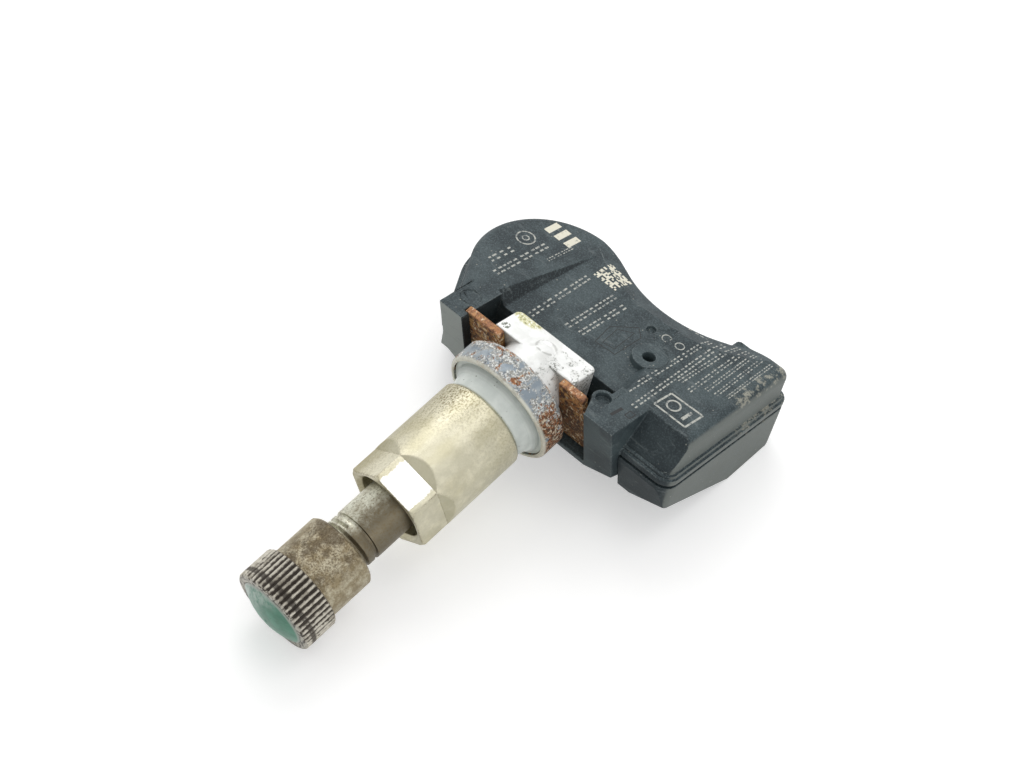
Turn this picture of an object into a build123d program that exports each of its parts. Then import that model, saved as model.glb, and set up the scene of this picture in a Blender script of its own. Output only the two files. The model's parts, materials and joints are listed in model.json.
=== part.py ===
from build123d import *
from math import acos, atan2, cos, hypot, radians, sin, sqrt, tan
import os

os.makedirs("parts", exist_ok=True)

# A clamp-in tyre pressure sensor as it lies on a table: a metal valve with its nut and cap,
# and behind it a moulded housing with the electronics. The origin is on the axis of the valve,
# at the front face of the seal that meets the wheel rim. +X points towards the cap, +Z up.

# Angles in degrees
valve_droop = 9.1  # the valve points down towards its cap, which rests on the table
head_angle = 18.9  # angle between the axis of the valve and the deck of the housing
nut_turned = 11.0  # turn of the nut's flats, from the box's side of the valve
nut_runout = 30.0  # slope in which each flat runs out on the barrel

# Stations along the valve, from the seal's front face, and radii of the valve
neck_radius = 5.45
neck_cone_radius = 4.3
neck_cone_length = 2.6
nut_thread_radius = 4.4
nut_thread_end = 17.5
stem_radius = 3.9
groove_start = 26.4
groove_width = 0.6
groove_radius = 3.45
cap_thread_radius = 3.85
stem_end = 38.4
stem_end_chamfer = 0.5
core_thread_radius = 2.65
core_thread_length = 5.3
core_chamber_radius = 2.1
core_chamber_end = 22.0
air_bore_radius = 1.1

# Head of the valve, a bar across the socket of the housing
head_front = -7.24
head_length = 4.96
head_half_width = 7.23
head_top = 5.0
head_bottom = -5.5
head_corner = 0.9
head_edge = 0.25

# Seal cup, grommet and retaining clip
cup_rear = -4.15
cup_radius = 8.95
cup_wall = 0.6
cup_floor = 1.0
cup_lip = 0.35
cup_bend = 0.9
grommet_gap = 0.12
grommet_face_radius = 7.5
grommet_ring_radius = 6.55
grommet_ring_end = 3.05
grommet_step = 0.55
clip_thickness = 1.05
clip_gap = 0.06
clip_top = 4.9
clip_bottom = -7.2
clip_shelf = 2.5
clip_tongue = 0.8
clip_corner = 0.6

# Collar nut and its washer
nut_start = 3.1
nut_radius = 6.93
nut_flats = 12.0
nut_hex_start = 16.6
nut_end = 21.1
nut_edge = 0.4
nut_mouth_radius = 5.15
nut_mouth_depth = 3.9
nut_mouth_chamfer = 0.5
washer_radius = 5.6
washer_thickness = 1.0
fit_gap = 0.05
thread_gap = 0.08
stem_fit = 0.03

# Valve core
barrel_end = 27.0
barrel_face = 37.3
barrel_radius = 1.95
barrel_bore = 0.95
barrel_shoulder = 1.1
core_seal_start = 30.6
core_seal_length = 1.4
core_seal_depth = 0.35
pin_radius = 0.5
pin_tip = 38.2
pin_collar_radius = 0.87
pin_collar_start = 36.1
pin_collar_length = 0.4
pin_head_radius = 1.5
pin_head_length = 0.8
core_cup_length = 1.0
spring_wire = 0.16
spring_turns = 7

# Cap
cap_start = 29.2
cap_neck_radius = 5.58
cap_shoulder = 36.3
cap_end = 41.6
knurl_radius = 6.44
knurl_teeth = 48
knurl_depth = 0.34
knurl_root = 0.62
cap_edge = 0.35
gasket_radius = 4.3
gasket_thickness = 1.0
cap_web = 0.6
insert_radius = 5.1
insert_crown = 1.3

# Arms of the housing at each side of the socket
arm_front = -4.67
arm_top = 5.31
arm_inner = 11.24
left_arm_outer = 15.5
right_arm_outer = 16.3
arm_bottom = -8.5
right_arm_rise = 2.4
left_arm_rise = 2.8
socket_depth = 8.4
socket_floor = -7.35
socket_wall = 0.8
saddle_half_width = 7.6
guide_side = 9.9
guide_radius = 1.6
guide_depth = 1.2

# Plan of the housing on its deck: distances behind the arms, and sideways
lobe_radius = 12.7
lobe_back = 18.4
lobe_side = -10.5
shoulder_back = 2.2
box_front = 3.8
box_back = 31.9
box_inner = 13.8
box_side = 24.8
box_corner = 2.2
box_rear_corner = 1.6
waist_radius = 18.0
waist_side = 4.5

# Heights of the housing below its deck, and wall
shell_inset = 0.9
lip_top = -5.1
seam = -6.5
lip_groove = 0.45
lip_flare = 0.4
wall = 1.3
deck_edge = 1.5
box_slope_run = 3.4
box_slope_drop = 4.5
ramp_depth = 1.8
ramp_front_half = 10.3
ramp_rear_half = 8.7
ramp_end = 25.4
rear_slope_run = 3.6
rear_slope_drop = 1.4

# Underside, in the upright frame: a flat foot behind, rising towards the arms and the box's front
foot_front = -21.0
foot_rear = -31.0
rear_rise_height = 2.0
rear_rise_run = 2.4
corner_width = 6.8
corner_front_rise = 3.1
corner_back_rise = 0.7

# Small marks of the moulding
port_back = 16.3
port_side = 9.6
port_radius = 2.6
port_depth = 0.15
port_hole_radius = 0.95
port_hole_offset = 0.2
dimple_back = 21.0
dimple_side = 6.1
dimple_radius = 0.7
ejector_back = 4.2
ejector_side = -13.4
ejector_radius = 1.5
ejector_depth = 0.15
recess_back = 4.5
recess_side = 11.05
recess_radius = 1.1
recess_depth = 0.8

# Electronics
board_thickness = 0.8
board_top = -7.4
board_gap = 0.25
post_radius = 1.2
cell_radius = 8.0
cell_thickness = 3.2
cell_rim = 0.6
tab_thickness = 0.2
tab_width = 4.0
tab_foot = 1.6
chip_size = 6.0
chip_height = 1.7
chip_port_radius = 0.5
port_seal_radius = 2.6
port_seal_bore = 1.8
coil_from_rear = 10.9
coil_from_side = 5.7
coil_length = 8.0
coil_size = 2.6
coil_flange = 1.0
winding_thickness = 0.45
crystal_from_front = 8.2
crystal_from_side = 4.9
crystal_length = 3.2
crystal_width = 2.5
crystal_height = 0.8
antenna_from_rear = 4.5
antenna_height = 2.6
antenna_strip = 0.5
component_gap = 2.75
component_pitch = 2.1
component_count = 5
component_length = 1.6
component_width = 0.9
component_height = 0.7

# Frames worked out from the angles
deck_pitch = head_angle - valve_droop
axis_dir = Vector(cos(radians(valve_droop)), 0, -sin(radians(valve_droop)))
axis_up = Vector(sin(radians(valve_droop)), 0, cos(radians(valve_droop)))
deck_forward = Vector(cos(radians(deck_pitch)), 0, sin(radians(deck_pitch)))
deck_normal = Vector(-sin(radians(deck_pitch)), 0, cos(radians(deck_pitch)))
side_dir = Vector(0, -1, 0)


def valve_point(station, height=0.0):
    """Point of the valve's upright middle plane."""
    return axis_dir * station + axis_up * height


def across(station):
    """Plane square to the valve: x is +Y and y points up."""
    return Plane(origin=valve_point(station), x_dir=(0, 1, 0), z_dir=axis_dir)


valve_axis = Axis((0, 0, 0), axis_dir)
turning = Plane(origin=(0, 0, 0), x_dir=axis_dir, z_dir=side_dir)
deck = Plane(origin=valve_point(arm_front, arm_top), x_dir=deck_forward, z_dir=deck_normal)
upright = Plane(origin=(0, 0, 0), x_dir=(1, 0, 0), z_dir=side_dir)


def deck_side(y=0.0):
    """Upright plane along the deck at the place y: x is forward and y is up from the deck."""
    return Plane(origin=deck.origin + Vector(0, y, 0), x_dir=deck_forward, z_dir=side_dir)


def deck_spot(back, side, height=0.0):
    """Plane on the deck at a place behind the arms, at a height above the deck."""
    shift = deck_forward * -back + Vector(0, side, 0) + deck_normal * height
    return Plane(origin=deck.origin + shift, x_dir=deck_forward, z_dir=deck_normal)


# The floor touches the lowest edge of the cap, and the foot of the housing lies on it
floor_z = valve_point(cap_end - cap_edge, -knurl_radius).Z


# Head of the valve: a bar whose top lies along the deck, with softened edges
with BuildPart() as valve_head:
    head_run = head_length * cos(radians(head_angle))
    head_fall = head_length * sin(radians(head_angle))
    head_back_run = (head_top - head_fall - head_bottom) * tan(radians(head_angle))
    with BuildSketch(turning):
        with BuildLine():
            Polyline(
                (head_front, head_bottom),
                (head_front, head_top),
                (head_front - head_run, head_top - head_fall),
                (head_front - head_run + head_back_run, head_bottom),
                close=True,
            )
        make_face()
    extrude(amount=head_half_width, both=True)
    fillet(valve_head.edges().filter_by(Axis((0, 0, 0), deck_normal)), head_corner)
    fillet(valve_head.faces().sort_by(Axis((0, 0, 0), deck_normal))[-1].edges(), head_edge)

# Valve stem, with threads' outer sizes and the bores for the core and the air
with BuildPart() as valve_stem:
    with BuildSketch(turning):
        with BuildLine():
            Polyline(
                (head_front - neck_cone_length, 0),
                (head_front - neck_cone_length, neck_cone_radius),
                (head_front, neck_radius),
                (cup_rear, neck_radius),
                (cup_rear, nut_thread_radius),
                (nut_thread_end, nut_thread_radius),
                (nut_thread_end + nut_thread_radius - stem_radius, stem_radius),
                (groove_start, stem_radius),
                (groove_start, groove_radius),
                (groove_start + groove_width, groove_radius),
                (groove_start + groove_width, cap_thread_radius),
                (stem_end - stem_end_chamfer, cap_thread_radius),
                (stem_end, cap_thread_radius - stem_end_chamfer),
                (stem_end, 0),
                close=True,
            )
        make_face()
    revolve(axis=valve_axis)
    add(valve_head.part)
    with BuildSketch(across(stem_end)):
        Circle(core_thread_radius)
    extrude(amount=-core_thread_length, mode=Mode.SUBTRACT)
    with BuildSketch(across(core_chamber_end)):
        Circle(core_chamber_radius)
    extrude(amount=stem_end - core_chamber_end, mode=Mode.SUBTRACT)
    with BuildSketch(across(head_front - 2 * head_length)):
        Circle(air_bore_radius)
    extrude(amount=core_chamber_end - head_front + 2 * head_length, mode=Mode.SUBTRACT)
valve_stem.part.label = "valve_stem"
export_step(valve_stem.part, "parts/valve_stem.step")

# Retaining clip, a plate behind the cup that reaches into a slot of each arm, under the right one's guide
clip_rear = head_front + clip_gap
clip_reach = arm_inner + clip_tongue
with BuildPart() as retaining_clip:
    with BuildSketch(across(clip_rear)):
        with BuildLine():
            Polyline(
                (-clip_reach, clip_bottom),
                (-clip_reach, clip_top),
                (guide_side - clip_gap, clip_top),
                (guide_side - clip_gap, clip_shelf),
                (clip_reach, clip_shelf),
                (clip_reach, clip_bottom),
                close=True,
            )
        plate = make_face()
        fillet(plate.vertices(), clip_corner)
        slot_width = 2 * (neck_radius + clip_gap)
        Circle(neck_radius + clip_gap, mode=Mode.SUBTRACT)
        Rectangle(slot_width, 2 * clip_top, align=(Align.CENTER, Align.MIN), mode=Mode.SUBTRACT)
    extrude(amount=clip_thickness)
retaining_clip.part.label = "retaining_clip"
export_step(retaining_clip.part, "parts/retaining_clip.step")

# Seal cup, drawn from sheet, with its lip turned in
cup_inner = cup_radius - cup_wall
cup_hole = nut_thread_radius + stem_fit
with BuildPart() as seal_cup:
    with BuildSketch(turning):
        with BuildLine():
            Polyline(
                (cup_rear, cup_hole),
                (cup_rear, cup_radius - cup_bend),
                (cup_rear + cup_bend, cup_radius),
                (0, cup_radius),
                (cup_lip, cup_radius - cup_lip),
                (cup_lip, cup_inner - cup_lip / 2),
                (0, cup_inner),
                (cup_rear + cup_floor, cup_inner),
                (cup_rear + cup_floor, cup_hole),
                close=True,
            )
        make_face()
    revolve(axis=valve_axis)
seal_cup.part.label = "seal_cup"
export_step(seal_cup.part, "parts/seal_cup.step")

# Rubber grommet with its thick ring towards the nut
grommet_radius = cup_inner - grommet_gap
with BuildPart() as seal_grommet:
    with BuildSketch(turning):
        with BuildLine():
            Polyline(
                (cup_rear + cup_floor, cup_hole),
                (cup_rear + cup_floor, grommet_radius),
                (-grommet_gap, grommet_radius),
                (0, grommet_radius - grommet_gap),
                (0, grommet_face_radius),
                (grommet_step, grommet_face_radius - grommet_step / 4),
                (2 * grommet_step, grommet_ring_radius + grommet_step / 2),
                (grommet_ring_end - grommet_gap, grommet_ring_radius - grommet_gap),
                (grommet_ring_end, grommet_ring_radius - 2 * grommet_gap),
                (grommet_ring_end, cup_hole),
                close=True,
            )
        make_face()
    revolve(axis=valve_axis)
seal_grommet.part.label = "seal_grommet"
export_step(seal_grommet.part, "parts/seal_grommet.step")

# Washer held in the nut's inner face
nut_bore = nut_thread_radius + thread_gap
with BuildPart() as nut_washer:
    with BuildSketch(across(nut_start)):
        Circle(washer_radius)
        Circle(nut_bore, mode=Mode.SUBTRACT)
    extrude(amount=washer_thickness)
nut_washer.part.label = "nut_washer"
export_step(nut_washer.part, "parts/nut_washer.step")

# Collar nut: a plain barrel, six flats at its outer end and a wide mouth round the stem
with BuildPart() as collar_nut:
    with BuildSketch(turning):
        with BuildLine():
            Polyline(
                (nut_start, washer_radius + fit_gap),
                (nut_start, nut_radius - nut_edge),
                (nut_start + nut_edge, nut_radius),
                (nut_end - nut_edge, nut_radius),
                (nut_end, nut_radius - nut_edge),
                (nut_end, nut_mouth_radius + nut_mouth_chamfer),
                (nut_end - nut_mouth_chamfer, nut_mouth_radius),
                (nut_end - nut_mouth_depth, nut_mouth_radius),
                (nut_end - nut_mouth_depth, nut_bore),
                (nut_start + washer_thickness + fit_gap, nut_bore),
                (nut_start + washer_thickness + fit_gap, washer_radius + fit_gap),
                close=True,
            )
        make_face()
    revolve(axis=valve_axis)
    flat_height = nut_flats / 2
    runout_height = nut_radius + nut_edge
    runout_start = nut_hex_start - (runout_height - flat_height) / tan(radians(nut_runout))
    for turn in range(6):
        flat_dir = Vector(0, 1, 0).rotate(valve_axis, nut_turned + 60 * turn)
        with BuildSketch(Plane(origin=(0, 0, 0), x_dir=axis_dir, z_dir=axis_dir.cross(flat_dir))):
            with BuildLine():
                Polyline(
                    (runout_start, runout_height),
                    (nut_hex_start, flat_height),
                    (nut_end, flat_height),
                    (nut_end, runout_height),
                    close=True,
                )
            make_face()
        extrude(amount=nut_radius, both=True, mode=Mode.SUBTRACT)
collar_nut.part.label = "collar_nut"
export_step(collar_nut.part, "parts/collar_nut.step")

# Valve core: barrel, its seal, the pin with its cup, and the spring that closes it
seal_root = barrel_radius - core_seal_depth
with BuildPart() as core_barrel:
    with BuildSketch(turning):
        with BuildLine():
            Polyline(
                (barrel_end, pin_radius + fit_gap),
                (barrel_end, barrel_radius),
                (core_seal_start, barrel_radius),
                (core_seal_start, seal_root),
                (core_seal_start + core_seal_length, seal_root),
                (core_seal_start + core_seal_length, barrel_radius),
                (stem_end - core_thread_length + fit_gap, barrel_radius),
                (stem_end - core_thread_length + fit_gap, core_thread_radius - fit_gap),
                (barrel_face, core_thread_radius - fit_gap),
                (barrel_face, barrel_bore),
                (barrel_end + barrel_shoulder, barrel_bore),
                (barrel_end + barrel_shoulder, pin_radius + fit_gap),
                close=True,
            )
        make_face()
    revolve(axis=valve_axis)
core_barrel.part.label = "core_barrel"
export_step(core_barrel.part, "parts/core_barrel.step")

with BuildPart() as core_seal:
    with BuildSketch(across(core_seal_start)):
        Circle(core_chamber_radius)
        Circle(seal_root, mode=Mode.SUBTRACT)
    extrude(amount=core_seal_length)
core_seal.part.label = "core_seal"
export_step(core_seal.part, "parts/core_seal.step")

cup_face = barrel_end - fit_gap
cup_back = cup_face - core_cup_length
with BuildPart() as core_pin:
    with BuildSketch(turning):
        with BuildLine():
            Polyline(
                (cup_back - pin_head_length, 0),
                (cup_back - pin_head_length, pin_head_radius),
                (cup_back, pin_head_radius),
                (cup_back, pin_radius),
                (pin_collar_start, pin_radius),
                (pin_collar_start, pin_collar_radius),
                (pin_collar_start + pin_collar_length, pin_collar_radius),
                (pin_collar_start + pin_collar_length, pin_radius),
                (pin_tip, pin_radius),
                (pin_tip, 0),
                close=True,
            )
        make_face()
    revolve(axis=valve_axis)
core_pin.part.label = "core_pin"
export_step(core_pin.part, "parts/core_pin.step")

with BuildPart() as core_cup:
    with BuildSketch(across(cup_back)):
        Circle(pin_head_radius)
        Circle(pin_radius, mode=Mode.SUBTRACT)
    extrude(amount=core_cup_length)
core_cup.part.label = "core_cup"
export_step(core_cup.part, "parts/core_cup.step")

spring_start = barrel_end + barrel_shoulder + spring_wire
spring_length = pin_collar_start - spring_wire - spring_start
spring_radius = (pin_radius + barrel_bore) / 2
with BuildPart() as core_spring:
    with BuildLine() as coil:
        Helix(
            spring_length / spring_turns,
            spring_length,
            spring_radius,
            center=valve_point(spring_start),
            direction=axis_dir,
        )
    with BuildSketch(Plane(origin=coil.line @ 0, z_dir=coil.line % 0)):
        Rectangle(spring_wire, spring_wire)
    sweep(path=coil.line, is_frenet=True)
core_spring.part.label = "core_spring"
export_step(core_spring.part, "parts/core_spring.step")

# Cap: smooth neck, knurled grip, thread bore and a pocket for the coloured insert
cap_bore = cap_thread_radius + thread_gap
gasket_start = stem_end + fit_gap
gasket_end = gasket_start + gasket_thickness + fit_gap
pocket_floor = gasket_end + cap_web
with BuildPart() as cap:
    with BuildSketch(turning):
        with BuildLine():
            Polyline(
                (cap_start, cap_bore),
                (cap_start, cap_neck_radius - cap_edge),
                (cap_start + cap_edge, cap_neck_radius),
                (cap_shoulder, cap_neck_radius),
                (cap_shoulder, knurl_radius - cap_edge),
                (cap_shoulder + cap_edge, knurl_radius),
                (cap_end - cap_edge, knurl_radius),
                (cap_end, knurl_radius - cap_edge),
                (cap_end, insert_radius + fit_gap),
                (pocket_floor, insert_radius + fit_gap),
                (pocket_floor, 0),
                (gasket_end, 0),
                (gasket_end, gasket_radius + fit_gap),
                (gasket_start, gasket_radius + fit_gap),
                (gasket_start, cap_bore),
                close=True,
            )
        make_face()
    revolve(axis=valve_axis)
    with BuildSketch(across(cap_shoulder)):
        with PolarLocations(knurl_radius, knurl_teeth):
            Rectangle(2 * knurl_depth, knurl_root, rotation=45)
    extrude(amount=cap_end - cap_shoulder, mode=Mode.SUBTRACT)
cap.part.label = "cap"
export_step(cap.part, "parts/cap.step")

with BuildPart() as cap_gasket:
    with BuildSketch(across(gasket_start)):
        Circle(gasket_radius)
    extrude(amount=gasket_thickness)
cap_gasket.part.label = "cap_gasket"
export_step(cap_gasket.part, "parts/cap_gasket.step")

crown_radius = (insert_radius**2 + insert_crown**2) / (2 * insert_crown)
crown_centre = cap_end + insert_crown - crown_radius
with BuildPart() as cap_insert:
    with BuildSketch(turning):
        with BuildLine():
            Line((pocket_floor, 0), (pocket_floor, insert_radius))
            Line((pocket_floor, insert_radius), (cap_end, insert_radius))
            ThreePointArc(
                (cap_end, insert_radius),
                (crown_centre + sqrt(crown_radius**2 - insert_radius**2 / 4), insert_radius / 2),
                (cap_end + insert_crown, 0),
            )
            Line((cap_end + insert_crown, 0), (pocket_floor, 0))
        make_face()
    revolve(axis=valve_axis)
cap_insert.part.label = "cap_insert"
export_step(cap_insert.part, "parts/cap_insert.step")

# Plan of the housing: a round lobe, a box at the other end, and a waist between them
lobe_to_waist = lobe_radius + waist_radius
waist_back = lobe_back + sqrt(lobe_to_waist**2 - (waist_side - lobe_side) ** 2)
shoulder_run = lobe_back - shoulder_back
shoulder_rise = -left_arm_outer - lobe_side
tangent_turn = acos(lobe_radius / hypot(shoulder_run, shoulder_rise))
tangent_angle = atan2(shoulder_rise, shoulder_run) - tangent_turn
lobe_tangent = (
    lobe_radius * cos(tangent_angle) - lobe_back,
    lobe_radius * sin(tangent_angle) + lobe_side,
)
full_depth = box_back
ceiling = -ramp_depth - wall
groove_top = seam + lip_groove


def plan(height, inset):
    """Outline of the housing at a height from the deck, drawn in all round by the inset."""
    with BuildSketch(deck_spot(0, 0, height)) as outline:
        with BuildLine():
            Polyline(
                (-lobe_back, lobe_side),
                (-waist_back, waist_side),
                (-box_back, box_inner),
                (-box_front, box_inner),
                (-shoulder_back, lobe_side),
                close=True,
            )
        make_face()
        with Locations((-waist_back, waist_side)):
            Circle(waist_radius, mode=Mode.SUBTRACT)
        with BuildLine():
            Polyline(
                (-lobe_back, lobe_side),
                (-shoulder_back, lobe_side),
                (-shoulder_back, -left_arm_outer),
                lobe_tangent,
                close=True,
            )
        make_face()
        with Locations((-lobe_back, lobe_side)):
            Circle(lobe_radius)
        with BuildSketch(mode=Mode.PRIVATE) as box:
            with Locations((-box_back, box_inner)):
                Rectangle(box_back - box_front, box_side - box_inner, align=(Align.MIN, Align.MIN))
            fillet(box.vertices().group_by(Axis.Y)[-1], box_corner)
            fillet(box.vertices().sort_by(Axis.X).group_by(Axis.Y)[0][0], box_rear_corner)
        add(box.sketch)
        if inset:
            offset(amount=-inset, kind=Kind.INTERSECTION, mode=Mode.REPLACE)
    return outline.sketch


def socket_block(clearance):
    """Block round the socket, from the deck down and to the front, grown by a clearance."""
    with BuildPart() as block:
        with BuildSketch(deck):
            with Locations((-socket_depth - socket_wall - clearance, -left_arm_outer - clearance)):
                width = left_arm_outer + right_arm_outer + 2 * clearance
                Rectangle(2 * socket_depth, width, align=(Align.MIN, Align.MIN))
        extrude(amount=-full_depth)
    return block.part


far = 3 * box_back
toe = valve_point(arm_front, arm_bottom)


def below_plane(first, second, third):
    """Everything below the plane through three points, taken anticlockwise as seen from above."""
    with BuildPart() as below:
        with BuildSketch(Plane(origin=first, z_dir=(second - first).cross(third - first))):
            Rectangle(2 * far, 2 * far)
        extrude(amount=-far)
    return below.part


def underside(lift):
    """Everything below the underside of the housing, with that surface moved up by the lift."""
    corner_front = Vector(toe.X, box_side, toe.Z + corner_front_rise + lift)
    corner_back = Vector(foot_front, box_side, floor_z + corner_back_rise + lift)
    corner_inner = Vector(toe.X, box_side - corner_width, toe.Z + lift)
    with BuildPart() as below:
        with BuildSketch(upright):
            with BuildLine():
                Polyline(
                    (far, toe.Z + lift),
                    (toe.X, toe.Z + lift),
                    (foot_front, floor_z + lift),
                    (foot_rear, floor_z + lift),
                    (foot_rear - rear_rise_run, floor_z + rear_rise_height + lift),
                    (-far, floor_z + rear_rise_height + lift),
                    (-far, -far),
                    (far, -far),
                    close=True,
                )
            make_face()
        extrude(amount=2 * box_side, both=True)
        add(below_plane(corner_front, corner_back, corner_inner))
    return below.part


def deck_height(item):
    """Height of an edge or a face from the deck."""
    return deck.to_local_coords(item.center()).Z


def socket_rear(height):
    """Station of the socket's rear wall, which is square to the deck, at a height from the valve's axis."""
    rear_top = arm_top - socket_depth * sin(radians(head_angle))
    rear_station = arm_front - socket_depth * cos(radians(head_angle))
    return rear_station + (rear_top - height) * tan(radians(head_angle))


# Housing: deck with its shell, the lip, and the block of the socket with its two arms
with BuildPart() as housing:
    add(plan(seam, shell_inset))
    extrude(amount=-seam, dir=deck_normal)
    fillet(housing.edges().filter_by(lambda edge: abs(deck_height(edge)) < fit_gap), deck_edge)
    add(plan(groove_top, 0))
    extrude(amount=lip_top - groove_top, dir=deck_normal)
    add(plan(lip_top, shell_inset / 2))
    extrude(amount=lip_flare, dir=deck_normal)

    # The front of the box slopes back beside the arm
    slope_foot = -box_front - shell_inset
    with BuildSketch(deck_side(right_arm_outer)):
        with BuildLine():
            Polyline(
                (0, deck_edge),
                (slope_foot - box_slope_run, deck_edge),
                (slope_foot - box_slope_run, 0),
                (slope_foot, -box_slope_drop),
                (0, -box_slope_drop),
                close=True,
            )
        make_face()
    extrude(amount=-box_side, mode=Mode.SUBTRACT)

    # Room for the electronics, then the block of the socket
    add(plan(seam, shell_inset + wall))
    extrude(amount=ceiling - seam, dir=deck_normal, mode=Mode.SUBTRACT)
    add(socket_block(0))
    with BuildSketch(across(arm_front)):
        Rectangle(4 * box_side, 4 * box_side)
    extrude(amount=2 * socket_depth, mode=Mode.SUBTRACT)
    add(underside(0), mode=Mode.SUBTRACT)

    # The lower outer corner of each arm is cut away
    right_high = valve_point(arm_front, arm_bottom + right_arm_rise) + Vector(0, right_arm_outer, 0)
    right_far = Vector(foot_front, right_arm_outer, floor_z)
    right_low = toe + Vector(0, arm_inner, 0)
    add(below_plane(right_high, right_far, right_low), mode=Mode.SUBTRACT)
    left_high = valve_point(arm_front, arm_bottom + left_arm_rise) - Vector(0, left_arm_outer, 0)
    left_far = Vector(foot_front, -left_arm_outer, floor_z)
    left_low = toe - Vector(0, arm_inner, 0)
    add(below_plane(left_high, left_low, left_far), mode=Mode.SUBTRACT)

    # Middle of the deck: a ramp that sinks towards the socket, and a slope along the waist
    for back, half, sink in ((socket_depth, ramp_front_half, ramp_depth), (ramp_end, ramp_rear_half, 0)):
        with BuildSketch(Plane(origin=deck_spot(back, 0).origin, x_dir=(0, 1, 0), z_dir=deck_forward)):
            with BuildLine():
                Polyline(
                    (-half, -sink),
                    (half, -sink),
                    (half + sink + ramp_depth, ramp_depth),
                    (-half - sink - ramp_depth, ramp_depth),
                    close=True,
                )
            make_face()
    loft(ruled=True, mode=Mode.SUBTRACT)
    waist_plane = deck_spot(waist_back, waist_side)
    slope_radius = waist_radius + shell_inset
    with BuildSketch(Plane(origin=waist_plane.origin, x_dir=deck_forward, z_dir=side_dir)):
        with BuildLine():
            Polyline(
                (0, -rear_slope_drop),
                (slope_radius, -rear_slope_drop),
                (slope_radius + rear_slope_run, 0),
                (slope_radius + rear_slope_run, rear_slope_drop),
                (0, rear_slope_drop),
                close=True,
            )
        make_face()
    revolve(axis=Axis(waist_plane.origin, deck_normal), mode=Mode.SUBTRACT)

    # Socket between the arms, with a saddle under the head of the valve and slots for the clip
    saddle_top = head_bottom - fit_gap
    with BuildSketch(turning):
        with BuildLine():
            Polyline(
                (socket_rear(2 * arm_top), 2 * arm_top),
                (socket_rear(socket_floor), socket_floor),
                (0, socket_floor),
                (0, 2 * arm_top),
                close=True,
            )
        make_face()
    extrude(amount=arm_inner, both=True, mode=Mode.SUBTRACT)
    with BuildSketch(turning):
        with BuildLine():
            Polyline(
                (socket_rear(saddle_top), saddle_top),
                (socket_rear(socket_floor), socket_floor),
                (head_front, socket_floor),
                (head_front, saddle_top),
                close=True,
            )
        make_face()
    extrude(amount=saddle_half_width, both=True)
    with BuildSketch(across(clip_rear - clip_gap)):
        with Locations((0, clip_bottom - clip_gap)):
            slot_width = 2 * (clip_reach + clip_gap)
            Rectangle(slot_width, 2 * arm_top - clip_bottom, align=(Align.CENTER, Align.MIN))
        with Locations((guide_side, clip_shelf + clip_gap)):
            Rectangle(clip_reach, 2 * arm_top, align=(Align.MIN, Align.MIN), mode=Mode.SUBTRACT)
    extrude(amount=clip_thickness + 2 * clip_gap, mode=Mode.SUBTRACT)

    # Guide on the right arm, a round lug behind the clip and a wedge beside it
    with BuildSketch(deck):
        with BuildLine():
            Polyline(
                (-guide_depth * tan(radians(head_angle)), arm_inner),
                (-recess_back, recess_side - guide_radius),
                (-recess_back, arm_inner),
                close=True,
            )
        make_face()
        with Locations((-recess_back, recess_side)):
            Circle(guide_radius)
    extrude(amount=-guide_depth)

    # Pressure port on a round boss, then dimple, recess and ejector mark
    with BuildSketch(deck_spot(port_back, port_side, -port_depth)):
        Circle(port_radius)
    extrude(amount=port_depth, mode=Mode.SUBTRACT)
    with BuildSketch(deck_spot(port_back, port_side, -port_depth)):
        Circle(port_radius)
    extrude(amount=ceiling + port_depth)
    with BuildSketch(deck_spot(port_back - port_hole_offset, port_side)):
        Circle(port_hole_radius)
    extrude(amount=2 * ceiling, mode=Mode.SUBTRACT)
    with BuildSketch(deck_spot(dimple_back, dimple_side, -ramp_depth / 2)):
        Circle(dimple_radius)
    extrude(amount=ramp_depth, mode=Mode.SUBTRACT)
    with BuildSketch(deck_spot(recess_back, recess_side, -recess_depth)):
        Circle(recess_radius)
    extrude(amount=2 * recess_depth, mode=Mode.SUBTRACT)
    with BuildSketch(deck_spot(ejector_back, ejector_side, -ejector_depth)):
        Circle(ejector_radius)
    extrude(amount=2 * ejector_depth, mode=Mode.SUBTRACT)
housing.part.label = "housing"
export_step(housing.part, "parts/housing.step")

# Base tray: the lower half, open at the seam, with posts under the circuit board
board_bottom = board_top - board_thickness
coil_back = box_back - coil_from_rear
coil_side = box_side - coil_from_side
post_spots = [
    (lobe_back, lobe_side - cell_radius / 2),
    (lobe_back, lobe_side + cell_radius / 2),
    (coil_back - coil_length / 2, coil_side),
    (coil_back + coil_length / 2, coil_side),
]
with BuildPart() as tray_room:
    add(plan(seam, wall))
    extrude(amount=full_depth, dir=-deck_normal)
    add(underside(wall), mode=Mode.SUBTRACT)
    add(socket_block(fit_gap), mode=Mode.SUBTRACT)
    with BuildSketch(across(arm_front - 2 * wall)):
        Rectangle(4 * box_side, 4 * box_side)
    extrude(amount=2 * socket_depth, mode=Mode.SUBTRACT)

with BuildPart() as base_tray:
    add(plan(seam, 0))
    extrude(amount=full_depth, dir=-deck_normal)
    add(underside(0), mode=Mode.SUBTRACT)
    add(socket_block(fit_gap), mode=Mode.SUBTRACT)
    with BuildSketch(across(arm_front - wall)):
        Rectangle(4 * box_side, 4 * box_side)
    extrude(amount=2 * socket_depth, mode=Mode.SUBTRACT)
    add(tray_room.part, mode=Mode.SUBTRACT)
    for back, side in post_spots:
        with BuildSketch(deck_spot(back, side, board_bottom)):
            Circle(post_radius)
        extrude(amount=-full_depth)
    add(underside(0), mode=Mode.SUBTRACT)
base_tray.part.label = "base_tray"
export_step(base_tray.part, "parts/base_tray.step")

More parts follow.
